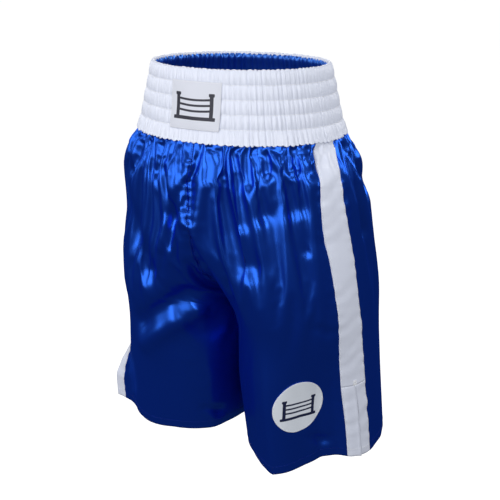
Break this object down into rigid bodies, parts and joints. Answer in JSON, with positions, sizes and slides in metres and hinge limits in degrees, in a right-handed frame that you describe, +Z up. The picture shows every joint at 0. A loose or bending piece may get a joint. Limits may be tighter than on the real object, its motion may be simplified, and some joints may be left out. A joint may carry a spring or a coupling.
{
  "type": "boxing shorts",
  "caption": "Satin boxing shorts with a wide shirred elastic waistband, side stripes, side vents, a front label and a round leg badge.",
  "frame": {"origin": "centre of the waist opening, in the plane of the waistband's top edge", "axes": "+Z up out of the waist, the front faces -Y, and +X is the wearer's left"},
  "size_m": [0.3928, 0.3063, 0.55],
  "materials": {
    "blue_satin": "polyester satin",
    "white_satin": "polyester satin",
    "blue_lining": "polyester satin",
    "elastic": "knitted elastic",
    "white_thread": "sewing thread",
    "blue_thread": "sewing thread",
    "label_twill": "printed twill"
  },
  "bodies": {
    "hips": {"waistband_cover": "white_satin", "waistband_lining": "blue_lining", "waistband_stitching": "white_thread", "waistband_label": "label_twill", "rise_stitching": "blue_thread", "elastic_band_1": "elastic", "elastic_band_2": "elastic", "elastic_band_3": "elastic", "elastic_band_4": "elastic", "elastic_band_5": "elastic", "left_front_panel_hip": "blue_satin", "left_back_panel_hip": "blue_satin", "left_stripe_hip": "white_satin", "right_front_panel_hip": "blue_satin", "right_back_panel_hip": "blue_satin", "right_stripe_hip": "white_satin"},
    "left_leg": {"left_front_panel_leg": "blue_satin", "left_back_panel_leg": "blue_satin", "left_stripe_leg": "white_satin", "left_vent_bar_tack": "white_thread", "left_hem_stitching": "blue_thread", "leg_badge": "label_twill"},
    "right_leg": {"right_front_panel_leg": "blue_satin", "right_back_panel_leg": "blue_satin", "right_stripe_leg": "white_satin", "right_vent_bar_tack": "white_thread", "right_hem_stitching": "blue_thread"},
    "left_front_vent_flap": {"left_vent_front_facing": "white_satin"},
    "left_rear_vent_flap": {"left_vent_rear_facing": "white_satin"},
    "right_front_vent_flap": {"right_vent_front_facing": "white_satin"},
    "right_rear_vent_flap": {"right_vent_rear_facing": "white_satin"}
  },
  "joints": [
    {"name": "left_leg_swing", "type": "hinge", "parent": "hips", "child": "left_leg", "pos_m": [0.096, 0.036, -0.335], "axis": [-1, 0, 0], "range_deg": [-12, 18]},
    {"name": "left_front_vent_open", "type": "hinge", "parent": "left_leg", "child": "left_front_vent_flap", "pos_m": [0.17895, -0.03111, -0.43], "axis": [0.0403, 0.133, -0.9903], "range_deg": [0, 90]},
    {"name": "left_rear_vent_open", "type": "hinge", "parent": "left_leg", "child": "left_rear_vent_flap", "pos_m": [0.19113, 0.01546, -0.43], "axis": [-0.0365, -0.1606, 0.9863], "range_deg": [0, 90]},
    {"name": "right_leg_swing", "type": "hinge", "parent": "hips", "child": "right_leg", "pos_m": [-0.096, 0.036, -0.335], "axis": [-1, 0, 0], "range_deg": [-12, 18]},
    {"name": "right_front_vent_open", "type": "hinge", "parent": "right_leg", "child": "right_front_vent_flap", "pos_m": [-0.17895, -0.03111, -0.43], "axis": [0.0403, -0.133, 0.9903], "range_deg": [0, 90]},
    {"name": "right_rear_vent_open", "type": "hinge", "parent": "right_leg", "child": "right_rear_vent_flap", "pos_m": [-0.19113, 0.01546, -0.43], "axis": [-0.0365, 0.1606, -0.9863], "range_deg": [0, 90]}
  ]
}
